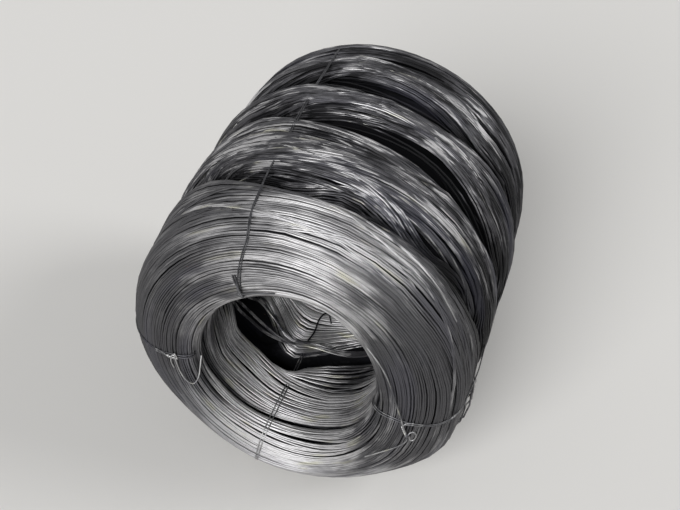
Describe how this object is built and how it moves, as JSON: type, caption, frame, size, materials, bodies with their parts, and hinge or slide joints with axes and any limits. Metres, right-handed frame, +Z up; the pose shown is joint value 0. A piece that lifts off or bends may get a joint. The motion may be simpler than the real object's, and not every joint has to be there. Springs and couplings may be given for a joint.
{
  "type": "coil of annealed iron wire",
  "caption": "Heavy coil of soft dark annealed iron wire, wound in four bundles round an open bore and held by doubled tie wires.",
  "frame": {"origin": "on the floor under the middle of the whole coil", "axes": "+Y along the coil's axis from its front end to its back end, +Z up"},
  "size_m": [0.503, 0.5652, 0.4998],
  "materials": {
    "annealed_wire": "dark oxide of annealing with a dull grey sheen",
    "tie_wire": "dark oxide, rubbed brighter where it was bent"
  },
  "bodies": {
    "root": {"wire_coil": "annealed_wire", "tie_top": "tie_wire", "tie_left": "tie_wire", "tie_bottom": "tie_wire", "tie_right": "tie_wire"}
  },
  "joints": []
}
